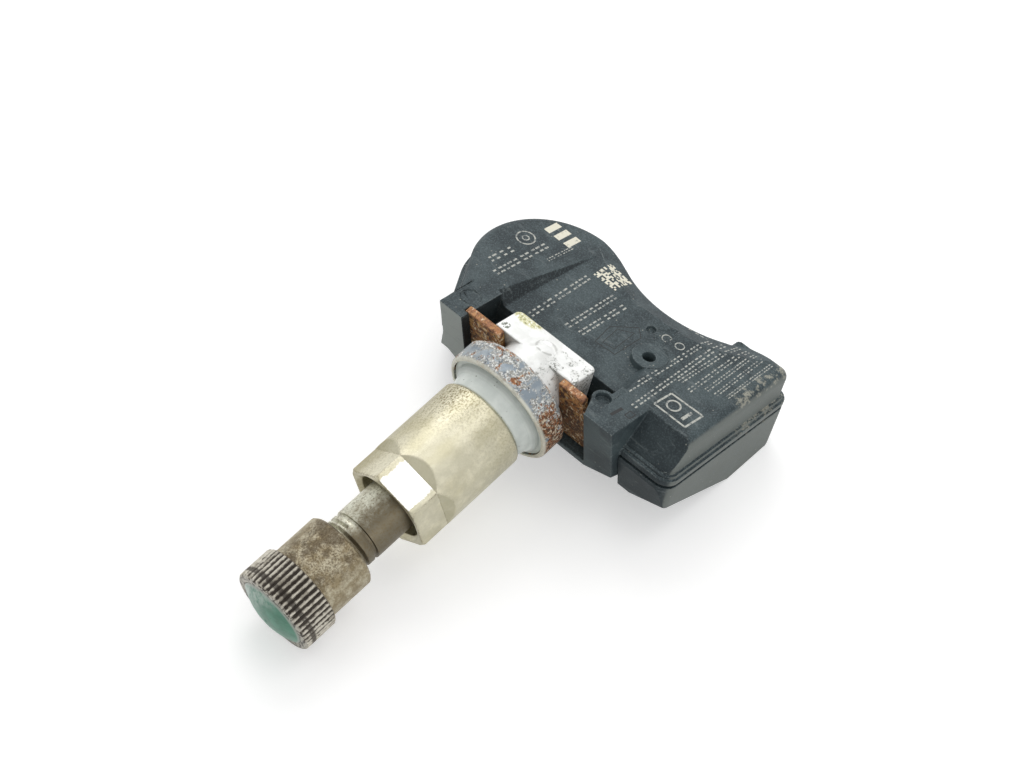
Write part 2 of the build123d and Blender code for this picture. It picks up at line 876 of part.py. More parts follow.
# Circuit board on the posts
with BuildPart() as circuit_board:
    add(plan(board_bottom, wall + board_gap))
    extrude(amount=board_thickness, dir=deck_normal)
    add(socket_block(board_gap), mode=Mode.SUBTRACT)
    with BuildSketch(across(arm_front - 2 * wall - board_gap)):
        Rectangle(4 * box_side, 4 * box_side)
    extrude(amount=2 * socket_depth, mode=Mode.SUBTRACT)
circuit_board.part.label = "circuit_board"
export_step(circuit_board.part, "parts/circuit_board.step")

# Coin cell in the lobe, with a welded tab below it and one above it
cell_bottom = board_top + tab_thickness
cell_top = cell_bottom + cell_thickness
with BuildPart() as coin_cell:
    with BuildSketch(deck_spot(lobe_back, lobe_side, cell_bottom)):
        Circle(cell_radius - cell_rim)
    extrude(amount=cell_thickness)
    with BuildSketch(deck_spot(lobe_back, lobe_side, cell_bottom + cell_rim)):
        Circle(cell_radius)
    extrude(amount=cell_thickness - cell_rim)
coin_cell.part.label = "coin_cell"
export_step(coin_cell.part, "parts/coin_cell.step")

tab_reach = cell_radius + board_gap
tab_shift = tab_width / 2 + board_gap
with BuildPart() as lower_tab:
    with BuildSketch(deck_spot(lobe_back - tab_shift, lobe_side, board_top)):
        Rectangle(tab_width, tab_reach, align=(Align.CENTER, Align.MIN))
    extrude(amount=tab_thickness)
lower_tab.part.label = "lower_tab"
export_step(lower_tab.part, "parts/lower_tab.step")

with BuildPart() as upper_tab:
    with BuildSketch(deck_spot(lobe_back + tab_shift, lobe_side, cell_top)):
        Rectangle(tab_width, tab_reach + tab_thickness, align=(Align.CENTER, Align.MIN))
    extrude(amount=tab_thickness)
    with BuildSketch(deck_spot(lobe_back + tab_shift, lobe_side + tab_reach, board_top)):
        Rectangle(tab_width, tab_thickness, align=(Align.CENTER, Align.MIN))
    extrude(amount=cell_top - board_top)
    with BuildSketch(deck_spot(lobe_back + tab_shift, lobe_side + tab_reach, board_top)):
        Rectangle(tab_width, tab_foot, align=(Align.CENTER, Align.MIN))
    extrude(amount=tab_thickness)
upper_tab.part.label = "upper_tab"
export_step(upper_tab.part, "parts/upper_tab.step")

# Sensor package under the pressure port, and the ring that seals it to the deck
chip_top = board_top + chip_height
with BuildPart() as sensor_package:
    with BuildSketch(deck_spot(port_back, port_side, board_top)):
        Rectangle(chip_size, chip_size)
    extrude(amount=chip_height)
    with BuildSketch(deck_spot(port_back, port_side, chip_top)):
        Circle(chip_port_radius)
    extrude(amount=-chip_height / 2, mode=Mode.SUBTRACT)
sensor_package.part.label = "sensor_package"
export_step(sensor_package.part, "parts/sensor_package.step")

with BuildPart() as port_seal:
    with BuildSketch(deck_spot(port_back, port_side, chip_top)):
        Circle(port_seal_radius)
        Circle(port_seal_bore, mode=Mode.SUBTRACT)
    extrude(amount=ceiling - chip_top)
port_seal.part.label = "port_seal"
export_step(port_seal.part, "parts/port_seal.step")

# Coil that wakes the sensor: a ferrite bobbin and its winding
bobbin_size = coil_size - 2 * winding_thickness
coil_middle = board_top + coil_size / 2
winding_length = coil_length - 2 * coil_flange
with BuildPart() as coil_core:
    with BuildSketch(deck_spot(coil_back, coil_side, board_top)):
        Rectangle(coil_length, coil_size)
    extrude(amount=coil_size)
    with BuildSketch(Plane(origin=deck_spot(coil_back, coil_side, coil_middle).origin, z_dir=deck_forward)):
        Rectangle(2 * coil_size, 2 * coil_size)
        Rectangle(bobbin_size, bobbin_size, mode=Mode.SUBTRACT)
    extrude(amount=winding_length / 2, both=True, mode=Mode.SUBTRACT)
coil_core.part.label = "coil_core"
export_step(coil_core.part, "parts/coil_core.step")

with BuildPart() as coil_winding:
    with BuildSketch(Plane(origin=deck_spot(coil_back, coil_side, coil_middle).origin, z_dir=deck_forward)):
        RectangleRounded(coil_size, coil_size, winding_thickness)
        Rectangle(bobbin_size, bobbin_size, mode=Mode.SUBTRACT)
    extrude(amount=winding_length / 2, both=True)
coil_winding.part.label = "coil_winding"
export_step(coil_winding.part, "parts/coil_winding.step")

# Crystal, antenna staple and a row of small components beside the sensor package
crystal_back = box_front + crystal_from_front
crystal_side = box_side - crystal_from_side
with BuildPart() as crystal:
    with BuildSketch(deck_spot(crystal_back, crystal_side, board_top)):
        RectangleRounded(crystal_width, crystal_length, crystal_width / 4)
    extrude(amount=crystal_height)
crystal.part.label = "crystal"
export_step(crystal.part, "parts/crystal.step")

antenna_place = deck_spot(box_back - antenna_from_rear, (box_inner + box_side) / 2, board_top)
antenna_span = box_side - box_inner - 2 * (shell_inset + wall + board_gap)
with BuildPart() as antenna:
    with BuildSketch(Plane(origin=antenna_place.origin, x_dir=(0, 1, 0), z_dir=deck_forward)):
        Rectangle(antenna_span, antenna_height, align=(Align.CENTER, Align.MIN))
        opening_span = antenna_span - 2 * antenna_strip
        opening_height = antenna_height - antenna_strip
        Rectangle(opening_span, opening_height, align=(Align.CENTER, Align.MIN), mode=Mode.SUBTRACT)
    extrude(amount=antenna_strip / 2, both=True)
antenna.part.label = "antenna"
export_step(antenna.part, "parts/antenna.step")

component_side = port_side - chip_size / 2 - component_gap
with BuildPart() as chip_components:
    with BuildSketch(deck_spot(port_back, component_side, board_top)):
        with GridLocations(component_pitch, component_pitch, component_count, 1):
            Rectangle(component_width, component_length)
    extrude(amount=component_height)
chip_components.part.label = "chip_components"
export_step(chip_components.part, "parts/chip_components.step")
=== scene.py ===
import json
import math
import random

import bmesh
import bpy
from mathutils import Matrix, Vector
from mathutils.bvhtree import BVHTree


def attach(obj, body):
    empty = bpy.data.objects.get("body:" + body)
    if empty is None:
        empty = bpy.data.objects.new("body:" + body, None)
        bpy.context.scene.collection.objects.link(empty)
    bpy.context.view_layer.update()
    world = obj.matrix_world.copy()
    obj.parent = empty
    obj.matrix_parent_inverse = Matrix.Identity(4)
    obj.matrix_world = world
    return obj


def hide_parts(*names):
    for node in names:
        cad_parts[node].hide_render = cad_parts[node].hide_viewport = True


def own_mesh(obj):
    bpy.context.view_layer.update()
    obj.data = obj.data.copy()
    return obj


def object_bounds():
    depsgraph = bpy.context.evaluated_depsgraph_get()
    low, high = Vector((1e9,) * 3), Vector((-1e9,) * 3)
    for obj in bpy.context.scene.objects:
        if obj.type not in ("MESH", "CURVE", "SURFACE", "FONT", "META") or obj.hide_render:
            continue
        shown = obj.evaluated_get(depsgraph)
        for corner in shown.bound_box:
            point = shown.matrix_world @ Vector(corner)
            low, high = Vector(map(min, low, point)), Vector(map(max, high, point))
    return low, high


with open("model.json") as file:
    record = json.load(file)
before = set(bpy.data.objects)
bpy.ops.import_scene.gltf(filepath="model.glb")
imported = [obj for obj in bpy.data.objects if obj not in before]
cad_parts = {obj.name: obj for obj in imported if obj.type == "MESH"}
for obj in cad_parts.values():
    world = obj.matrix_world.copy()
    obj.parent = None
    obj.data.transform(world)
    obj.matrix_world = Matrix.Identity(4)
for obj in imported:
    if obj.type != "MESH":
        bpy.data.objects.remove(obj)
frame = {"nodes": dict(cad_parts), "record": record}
cad_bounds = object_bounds()
nodes = frame["nodes"]

# Sizes of the part are in millimetres, the stage is in metres
MM = 0.001

# Frame of the valve and of the housing's deck, in the part's own frame
DROOP = math.radians(9.1)
PITCH = math.radians(9.8)
SIDE = Vector((0, 1, 0))
AXIS = Vector((math.cos(DROOP), 0, -math.sin(DROOP)))
AXIS_UP = Vector((math.sin(DROOP), 0, math.cos(DROOP)))
FORWARD = Vector((math.cos(PITCH), 0, math.sin(PITCH)))
NORMAL = Vector((-math.sin(PITCH), 0, math.cos(PITCH)))
DECK_STATION = -4.67
DECK_LIFT = 5.31
DECK_ORIGIN = (AXIS * DECK_STATION + AXIS_UP * DECK_LIFT) * MM

# Places on the valve that the finishes and the painted light and shade follow
NUT_RADIUS = 6.93
RUNOUT_START = 13.9
HEX_START = 16.6
FLAT_TURN = math.radians(71.0)
CAP_SHOULDER = 36.3
CAP_END = 41.6
KNURL_RADIUS = 6.44
KNURL_GAP = 40.2
GROMMET_RING = 7.35

# Thread of the stem
THREAD_START = 27.7
THREAD_END = 38.9
THREAD_PITCH = 0.794
THREAD_OUTER = 4.0
THREAD_ROOT = 3.46
THREAD_HALF = 0.33
THREAD_STEPS = 40
THREAD_ROUNDING = 0.06
THREAD_BEVEL_ANGLE = math.radians(40)
STEM_SHARP_ANGLE = math.radians(35)

# Rounding of sharp edges, by node
WELD_GAP = 0.0005
SHARP_ANGLE = math.radians(30)
EDGE_ROUNDING = {
    "housing": 0.16,
    "base_tray": 0.14,
    "retaining_clip": 0.12,
    "seal_cup": 0.08,
    "collar_nut": 0.09,
    "cap": 0.05,
}

# Marks on the deck: how they are laid, the rows of dashes and the formula of the block of cells
MARK_SEED = 11
MARK_LIFT = 0.012
MARK_RAY_LIFT = 2.0
MARK_RAY_LENGTH = 6.0
MARK_SAME_FACE = 0.95
MARK_STEP = 0.06
DASH_FOR_HEIGHT = 1.2
DASH_LENGTHS = (0.45, 0.8)
DASH_TRIMS = (0.0, 0.3)
DASH_GAPS = (0.2, 0.2, 0.24, 0.5)
DASH_WIDTH = 0.2
DASH_OFFSET = 0.26
CELL_BY_ROW = 37
CELL_BY_COLUMN = 61
CELL_BY_BOTH = 17
CELL_CYCLE = 23
CELL_FILLED = 14

# Light and camera
WHITE = (1, 1, 1, 1)
FLOOR_GLOW = 0.42
SKY_TOWARD = (-0.55, -0.45, 0.7)
SKY_SPREAD = (-0.3, 0.9)
SKY_LEVELS = (0.34, 0.8)
CAMERA_PLACE = (0.1236, 0.0986, 0.2028)
CAMERA_RIGHT = Vector((-0.6871, 0.7227, 0.0764))
CAMERA_BACK = Vector((0.4921, 0.3853, 0.7806))
CAMERA_LENS = 66.8
CAMERA_SENSOR = 36.0
CAMERA_NEAR = 0.01


def deck_point(back, side, lift):
    """A point from its place on the deck, in millimetres behind the arms, sideways and above."""
    return DECK_ORIGIN + (SIDE * side - FORWARD * back + NORMAL * lift) * MM


def valve_point(station, radius, angle):
    """A point from its place along the valve, away from its axis and round it."""
    spoke = AXIS_UP * math.cos(angle) - SIDE * math.sin(angle)
    return (AXIS * station + spoke * radius) * MM


def srgb(red, green, blue):
    """A colour of 0 to 255 as seen on a screen, as linear RGBA."""
    def linear(value):
        value /= 255
        return value / 12.92 if value <= 0.04045 else ((value + 0.055) / 1.055) ** 2.4
    return (linear(red), linear(green), linear(blue), 1.0)


class NodeKit:
    """Builds the nodes of a material or a world. Values are sockets or constants."""

    def __init__(self, tree):
        self.tree = tree

    def wire(self, node, inputs):
        """Links each input to its socket, or sets it to its constant."""
        for name, value in inputs.items():
            if isinstance(value, bpy.types.NodeSocket):
                self.tree.links.new(value, node.inputs[name])
            else:
                node.inputs[name].default_value = value

    def add(self, kind, inputs, **settings):
        node = self.tree.nodes.new("ShaderNode" + kind)
        for name, value in settings.items():
            setattr(node, name, value)
        self.wire(node, inputs)
        return node

    def calc(self, operation, first, second=0.0):
        return self.add("Math", {0: first, 1: second}, operation=operation).outputs[0]

    def background(self):
        """1 for rays that should see the plain background, 0 for rays that carry light."""
        rays = self.add("LightPath", {}).outputs
        seen = self.calc("MAXIMUM", rays["Is Camera Ray"], rays["Is Glossy Ray"])
        return self.calc("MAXIMUM", seen, rays["Is Transmission Ray"])


class Look(NodeKit):
    """One procedural material. Places are in millimetres, turned about the side axis."""

    def __init__(self, name, turn=0.0):
        self.material = bpy.data.materials.new(name)
        self.material.use_nodes = True
        super().__init__(self.material.node_tree)
        self.shader = self.tree.nodes["Principled BSDF"]
        source = self.add("TexCoord", {})
        mapping = self.add("Mapping", {"Vector": source.outputs["Object"],
                                       "Rotation": (0.0, turn, 0.0),
                                       "Scale": (1 / MM, 1 / MM, 1 / MM)})
        self.place = mapping.outputs["Vector"]
        parts = self.add("SeparateXYZ", {"Vector": self.place})
        self.x, self.y, self.z = parts.outputs

    def stretched(self, along, across, up):
        """The place with each direction scaled, for streaks."""
        node = self.add("VectorMath", {0: self.place, 1: (along, across, up)}, operation="MULTIPLY")
        return node.outputs[0]

    def noise(self, scale, detail=3.0, roughness=0.55, place=None, distortion=0.0):
        node = self.add("TexNoise", {"Vector": place or self.place, "Scale": scale, "Detail": detail,
                                     "Roughness": roughness, "Distortion": distortion})
        return node.outputs["Fac"]

    def cells(self, scale):
        node = self.add("TexVoronoi", {"Vector": self.place, "Scale": scale})
        return node.outputs["Distance"]

    def step(self, value, low, high):
        """0 below low and 1 above high, or the other way round, with a soft passage."""
        rising = low < high
        node = self.add("MapRange", {"Value": value, "From Min": min(low, high), "From Max": max(low, high),
                                     "To Min": 0.0 if rising else 1.0, "To Max": 1.0 if rising else 0.0},
                        interpolation_type="SMOOTHSTEP")
        return node.outputs["Result"]

    def near(self, value, centre, far, close):
        """1 where a value is close to a centre, 0 where it is far from it."""
        away = self.calc("ABSOLUTE", self.calc("SUBTRACT", value, centre))
        return self.step(away, far, close)

    def times(self, *values):
        result = values[0]
        for value in values[1:]:
            result = self.calc("MULTIPLY", result, value)
        return result

    def scaled(self, value, gain, offset):
        return self.calc("ADD", self.times(value, gain), offset)

    def blend(self, share, first, second):
        """The first colour where share is 0, the second where it is 1."""
        node = self.add("Mix", {0: share, 6: first, 7: second}, data_type="RGBA")
        return node.outputs[2]

    def two_tone(self, value, low, high, first, second):
        """The first tone where a value is low, the second where it is high."""
        return self.blend(self.step(value, low, high), srgb(*first), srgb(*second))

    def tint(self, colour, tone, *shares):
        """A colour with a tone laid over it by the product of the shares."""
        return self.blend(self.times(*shares), colour, srgb(*tone))

    def facing(self, direction):
        """1 where the surface faces a direction, 0 square to it, -1 turned away."""
        source = self.add("TexCoord", {})
        node = self.add("VectorMath", {0: source.outputs["Normal"], 1: direction}, operation="DOT_PRODUCT")
        return node.outputs["Value"]

    def reach(self, centre, size):
        """Distance from a point in plan, 1 on an ellipse of the half sizes given."""
        place = self.stretched(1 / size[0], 1 / size[1], 0.0)
        middle = (centre[0] / size[0], centre[1] / size[1], 0.0)
        return self.add("VectorMath", {0: place, 1: middle}, operation="DISTANCE").outputs["Value"]

    def radius(self):
        """Distance from the axis of the valve."""
        square = self.calc("ADD", self.times(self.y, self.y), self.times(self.z, self.z))
        return self.calc("SQRT", square)

    def edges(self, size):
        """1 on sharp edges, 0 on open faces."""
        bevel = self.add("Bevel", {"Radius": size * MM}, samples=4)
        flat = self.add("NewGeometry", {})
        node = self.add("VectorMath", {0: bevel.outputs[0], 1: flat.outputs["Normal"]},
                        operation="DOT_PRODUCT")
        return self.step(node.outputs["Value"], 0.99, 0.85)

    def finish(self, colour, roughness, metallic=0.0, height=None, depth=0.02, **inputs):
        """Wires the shader. Depth is the height of the bumps in millimetres."""
        values = {"Base Color": colour, "Roughness": roughness, "Metallic": metallic, **inputs}
        if height is not None:
            bump = self.add("Bump", {"Height": height, "Strength": 1.0, "Distance": depth * MM})
            values["Normal"] = bump.outputs[0]
        self.wire(self.shader, values)
        return self.material


# Finishes of the pieces
def plain_look(name, dark, light, scale, roughness, metallic=0.0):
    """A two-tone mottled finish with fine bumps, for plain and hidden pieces."""
    look = Look(name)
    colour = look.two_tone(look.noise(scale, 4.0), 0.35, 0.65, dark, light)
    rough = look.scaled(look.noise(scale * 3), 0.2, roughness - 0.1)
    return look.finish(colour, rough, metallic, look.noise(scale * 8, 2.0), 0.01)


def housing_look():
    """Dark bluish moulding with a fine grainy speckle, scuffs, worn edges and dust, and painted light and
    shade by face: lighter arm fronts and right flank, a darker pocket wall and box slope, painted glints in
    the speckle on upward faces, and a pale patch on the deck's right edge that is partly wear and partly
    painted highlight.
    """
    look = Look("housing_plastic")
    fine = look.noise(4.2, 3.0, 0.65)
    broad = look.noise(0.2, 5.0, 0.6)
    colour = look.two_tone(broad, 0.38, 0.62, (42, 53, 57), (68, 80, 83))
    # Painted light: the faces of the arms that look along the valve are lighter, as if lit from ahead.
    arm_front_painted_light = look.times(look.step(look.facing(AXIS), 0.8, 0.95), look.step(look.x, -9.0, -7.0),
                           look.step(look.y, 0.0, -4.0))
    colour = look.tint(colour, (164, 171, 167), arm_front_painted_light, 0.85)
    # Painted light: the right side of the box is lighter, as if lit from that side.
    flank_painted_light = look.times(look.step(look.facing(SIDE), 0.6, 0.9), look.step(look.y, 18.0, 22.0))
    colour = look.tint(colour, (124, 129, 124), flank_painted_light, 0.75)
    # Painted shade: the wall of the pocket and the inner faces of the left arm are darker.
    pocket_wall_painted_shade = look.times(look.step(look.facing(SIDE), 0.3, 0.5), look.step(look.y, -5.0, -7.0))
    colour = look.tint(colour, (24, 30, 33), pocket_wall_painted_shade, 0.75)
    # Painted shade: the sloping front of the box is darker.
    box_slope_painted_shade = look.times(look.step(look.facing(FORWARD), 0.5, 0.75), look.step(look.y, 16.1, 16.6))
    colour = look.tint(colour, (30, 38, 42), box_slope_painted_shade, 0.6)
    # Fine speckle on upward faces: the dark specks belong to the plastic, the light specks are painted
    # glints.
    grain_and_glint = look.scaled(look.step(look.facing(NORMAL), 0.5, 0.8), 0.2, 0.1)
    colour = look.tint(colour, (118, 131, 134), look.step(fine, 0.5, 0.64), grain_and_glint)
    colour = look.tint(colour, (24, 31, 35), look.step(fine, 0.5, 0.38), grain_and_glint)
    scuff = look.noise(0.9, 5.0, 0.7, look.stretched(1.0, 0.25, 1.0), 0.6)
    colour = look.tint(colour, (112, 121, 122), look.step(scuff, 0.56, 0.7), 0.45)
    colour = look.tint(colour, (134, 142, 142), look.edges(0.25), look.step(fine, 0.4, 0.6), 0.6)
    # Pale patch along the deck's right edge: partly wear, partly painted highlight.
    worn = look.times(look.step(look.y, 21.0, 22.5), look.step(look.facing(NORMAL), 0.3, 0.6),
                      look.step(look.x, -20.0, -24.0), look.step(look.noise(0.8, 6.0, 0.75), 0.5, 0.6))
    colour = look.tint(colour, (172, 170, 156), worn, 0.75)
    dust = look.times(look.step(look.cells(1.1), 0.16, 0.08), look.step(look.noise(0.35), 0.52, 0.62))
    colour = look.tint(colour, (165, 165, 155), dust, 0.7)
    rough = look.scaled(fine, 0.25, 0.45)
    return look.finish(colour, rough, 0.0, look.noise(5.0, 3.0, 0.6), 0.04, **{"Specular IOR Level": 0.3})


def valve_look():
    """Pale head with flecks and stains, painted shade on its forward faces and a soft grey ring of painted
    shade, and a bare stem that is browner beyond the nut, with painted shade down its +y side.
    """
    look = Look("valve_metal", -DROOP)
    fine = look.noise(3.4, 5.0, 0.7)
    broad = look.noise(0.5, 4.0, 0.6)
    speckle = look.noise(2.2, 6.0, 0.75)
    head = look.two_tone(broad, 0.4, 0.65, (245, 246, 244), (228, 229, 226))
    # Painted shade: the faces of the head that look along the valve are greyer.
    front_painted_shade = look.times(look.step(look.facing(AXIS), 0.5, 0.8), look.step(look.x, -4.0, -6.0))
    head = look.tint(head, (176, 177, 173), front_painted_shade, 0.7)
    flecks = look.times(look.step(speckle, 0.53, 0.58), look.step(look.y, 1.0, 3.0))
    head = look.tint(head, (104, 106, 98), flecks, look.step(look.noise(0.5, 3.0), 0.44, 0.56))
    lime = look.times(look.step(look.reach((-11.6, -5.2), (1.5, 3.0)), 1.0, 0.7),
                      look.step(speckle, 0.4, 0.5))
    head = look.tint(head, (206, 203, 148), lime, 0.9)
    head = look.tint(head, (122, 120, 78), lime, look.step(speckle, 0.54, 0.58), 0.8)
    moss = look.times(look.step(look.reach((-8.2, -6.2), (0.7, 0.8)), 1.0, 0.7),
                      look.step(speckle, 0.44, 0.5))
    head = look.tint(head, (62, 70, 48), moss, 0.9)
    # Painted shade: a soft grey ring on the head.
    from_shade_ring = look.reach((-9.4, 0.2), (1.2, 1.5))
    painted_shade_ring = look.times(look.step(from_shade_ring, 0.75, 0.95), look.step(from_shade_ring, 1.2, 1.0),
                      look.step(broad, 0.48, 0.54))
    head = look.tint(head, (140, 140, 134), painted_shade_ring, 0.5)
    stem = look.two_tone(broad, 0.35, 0.65, (212, 212, 195), (192, 189, 170))
    # Painted shade: beyond the nut the stem darkens and browns toward +y. The fine brown specks there are
    # stains.
    painted_shade_side = look.calc("ADD", look.y, look.times(look.noise(0.5, 5.0, 0.7), 5.0))
    beyond_nut = look.scaled(look.step(look.x, 15.0, 20.0), 0.8, 0.2)
    stem = look.tint(stem, (90, 80, 60), look.step(painted_shade_side, 0.8, 4.2), beyond_nut, 0.9)
    stem = look.tint(stem, (104, 90, 64), look.step(fine, 0.5, 0.6), beyond_nut, 0.6)
    outer = look.step(look.x, -1.0, 2.0)
    colour = look.blend(outer, head, stem)
    rough = look.scaled(fine, 0.25, 0.28)
    metal = look.scaled(outer, 0.5, 0.2)
    return look.finish(colour, rough, metal, fine, 0.02)


def nut_look():
    """Champagne metal with specks and pits that gather at the seal and on the left, painted shade on its
    left and right sides and in the run-out crescents, a bare flat that is brightened with a painted
    highlight, and dark worn edges.
    """
    look = Look("nut_metal", -DROOP)
    fine = look.noise(3.2, 6.0, 0.75)
    broad = look.noise(0.3, 4.0, 0.6, look.stretched(0.5, 1.0, 1.0))
    radius = look.radius()
    colour = look.two_tone(broad, 0.35, 0.65, (216, 211, 188), (198, 192, 164))
    dirty = look.scaled(look.step(look.y, 3.0, -2.0), 0.6, 0.4)
    rear = look.calc("ADD", look.step(look.x, 13.0, 3.5), look.times(look.step(look.y, 1.0, -6.0), 0.4))
    grains = look.times(look.step(fine, 0.47, 0.6), dirty, look.scaled(rear, 0.8, 0.12))
    colour = look.tint(colour, (122, 110, 76), grains)
    pits = look.times(look.step(look.noise(2.2, 5.0, 0.7), 0.6, 0.66), look.step(look.x, 9.0, 4.0), dirty)
    colour = look.tint(colour, (84, 72, 48), pits, 0.85)
    # Painted shade: the left side of the nut is olive and darker.
    colour = look.tint(colour, (138, 129, 90), look.step(look.y, -2.5, -6.5), 0.6)
    # Painted shade: the right side of the nut is darker, in mottled patches.
    lower = look.times(look.step(look.y, 1.0, 5.0), look.step(look.noise(0.5, 6.0, 0.75), 0.3, 0.6))
    colour = look.tint(colour, (172, 168, 146), lower, 0.5)
    # Painted shade: the run-out crescents between the barrel and the hex are darker.
    runout = look.times(look.step(radius, NUT_RADIUS - 0.03, NUT_RADIUS - 0.13),
                        look.step(look.x, RUNOUT_START - 0.1, RUNOUT_START + 0.1),
                        look.step(look.x, HEX_START + 0.1, HEX_START - 0.1))
    colour = look.tint(colour, (156, 152, 126), runout, 0.5)
    # One bare flat is cleaner and smoother; its near-white colour is a painted highlight.
    flat = look.facing(AXIS_UP * math.sin(FLAT_TURN) + SIDE * math.cos(FLAT_TURN))
    ragged = look.calc("ADD", radius, look.times(look.noise(0.9, 6.0, 0.75), 0.9))
    bare_flat_highlight = look.times(look.step(flat, 0.93, 0.98), look.step(look.x, HEX_START - 0.15, HEX_START + 0.05),
                        look.step(ragged, NUT_RADIUS + 0.15, NUT_RADIUS + 0.07))
    colour = look.tint(colour, (254, 254, 252), bare_flat_highlight, 0.95)
    worn = look.times(look.edges(0.45), look.step(fine, 0.4, 0.52),
                      look.step(look.x, RUNOUT_START - 0.4, RUNOUT_START + 0.6))
    colour = look.tint(colour, (104, 90, 62), worn, 0.9)
    rough = look.calc("SUBTRACT", look.scaled(fine, 0.3, 0.22), look.times(bare_flat_highlight, 0.15))
    metal = look.calc("SUBTRACT", 0.75, look.times(bare_flat_highlight, 0.2))
    return look.finish(colour, rough, metal, fine, 0.03)


def cap_look():
    """Stained neck, and a knurl with pale crests, dark grooves, a dark ring of painted shade where the
    knurl is broken, and a worn rim.
    """
    look = Look("cap_metal", -DROOP)
    fine = look.noise(3.6, 6.0, 0.75)
    broad = look.noise(0.7, 5.0, 0.7)
    neck = look.two_tone(broad, 0.36, 0.62, (190, 182, 158), (146, 133, 104))
    middle = look.near(look.y, 0.4, 5.4, 2.0)
    neck = look.tint(neck, (98, 83, 60), look.step(fine, 0.42, 0.6), look.scaled(middle, 0.6, 0.25))
    stain = look.times(look.step(look.noise(0.28, 6.0, 0.75), 0.46, 0.58), middle)
    neck = look.tint(neck, (78, 66, 48), stain, 0.75)
    neck = look.tint(neck, (70, 58, 44), look.step(fine, 0.6, 0.68), 0.6)
    crest = look.two_tone(broad, 0.45, 0.65, (198, 193, 180), (152, 146, 133))
    worn = look.noise(1.2, 4.0, 0.6, look.stretched(1.6, 0.7, 0.7))
    height = look.calc("ADD", look.radius(), look.times(look.calc("SUBTRACT", worn, 0.5), 0.5))
    knurl = look.blend(look.step(height, KNURL_RADIUS - 0.32, KNURL_RADIUS - 0.14), srgb(70, 64, 57), crest)
    # Painted shade: a dark ring where the knurl is broken.
    knurl_gap_shade = look.near(look.x, KNURL_GAP, 0.5, 0.25)
    knurl = look.tint(knurl, (64, 58, 52), knurl_gap_shade, look.step(worn, 0.34, 0.46), 0.85)
    rim = look.times(look.step(look.x, CAP_END - 0.4, CAP_END - 0.15),
                     look.step(look.noise(1.8, 4.0, 0.6), 0.44, 0.52))
    knurl = look.tint(knurl, (178, 174, 163), rim)
    colour = look.blend(look.step(look.x, CAP_SHOULDER - 0.1, CAP_SHOULDER + 0.2), neck, knurl)
    rough = look.scaled(fine, 0.3, 0.34)
    return look.finish(colour, rough, 0.6, fine, 0.04)


def cup_look():
    """Blue-grey steel with a white crust, rust that spreads from the lower right, and a lip lightened with
    painted light.
    """
    look = Look("cup_steel", -DROOP)
    fine = look.noise(3.0, 6.0, 0.75)
    grit = look.noise(2.4, 5.0, 0.7)
    colour = look.two_tone(look.noise(0.6, 4.0), 0.4, 0.6, (136, 147, 156), (166, 174, 179))
    lower = look.times(look.step(look.y, 3.0, 7.0), look.step(look.z, 6.5, 2.0))
    spread = look.calc("ADD", look.noise(0.45, 5.0, 0.7), look.times(look.step(look.x, -1.0, -4.0), 0.06))
    crusted = look.step(spread, 0.45, 0.5)
    crust = look.times(crusted, look.step(grit, 0.4, 0.48))
    crumbs = look.two_tone(fine, 0.46, 0.56, (150, 148, 140), (242, 243, 240))
    colour = look.blend(look.times(crust, 0.95), colour, crumbs)
    colour = look.tint(colour, (66, 62, 54), crusted, look.step(grit, 0.42, 0.36), 0.7)
    rust = look.step(look.calc("ADD", look.noise(0.42, 6.0, 0.72), look.times(lower, 0.14)), 0.56, 0.59)
    brown = look.two_tone(fine, 0.42, 0.58, (96, 62, 40), (182, 122, 80))
    brown = look.tint(brown, (64, 46, 30), lower, look.step(grit, 0.56, 0.46), 0.9)
    brown = look.tint(brown, (228, 218, 194), look.step(look.noise(2.0, 5.0, 0.7), 0.54, 0.59), 0.9)
    colour = look.blend(rust, colour, brown)
    # Painted light: the cup's lip is near white.
    colour = look.tint(colour, (236, 234, 218), look.step(look.x, -0.1, 0.2), 0.8)
    rough = look.scaled(rust, 0.3, 0.45)
    metal = look.calc("SUBTRACT", 0.4, look.times(look.calc("MAXIMUM", rust, crust), 0.4))
    return look.finish(colour, rough, metal, look.calc("ADD", fine, look.times(crust, 0.5)), 0.07)


def clip_look():
    """Rust in several browns, with pale flakes, a lighter top edge of painted highlight and a darker lower
    part of painted shade.
    """
    look = Look("clip_steel", -DROOP)
    fine = look.noise(3.0, 6.0, 0.75)
    broad = look.noise(0.7, 6.0, 0.7)
    grit = look.noise(1.8, 5.0, 0.7)
    colour = look.two_tone(broad, 0.42, 0.56, (86, 56, 34), (178, 122, 70))
    colour = look.tint(colour, (54, 35, 22), look.step(grit, 0.5, 0.4), 0.85)
    colour = look.tint(colour, (210, 166, 104), look.step(look.noise(1.2, 5.0, 0.7), 0.52, 0.6), 0.8)
    # Painted highlight: the top edge is lighter.
    top = look.times(look.step(look.z, 4.4, 4.85), look.step(fine, 0.4, 0.5))
    colour = look.tint(colour, (202, 144, 108), top, 0.6)
    # Painted shade: the lower part is darker.
    colour = look.tint(colour, (64, 42, 28), look.step(look.z, 3.0, -3.0), 0.6)
    flakes = look.times(look.step(look.noise(1.5, 5.0, 0.7), 0.55, 0.6), look.step(broad, 0.44, 0.52))
    colour = look.tint(colour, (238, 222, 190), flakes, 0.9)
    return look.finish(colour, 0.75, 0.0, look.calc("ADD", fine, broad), 0.1)


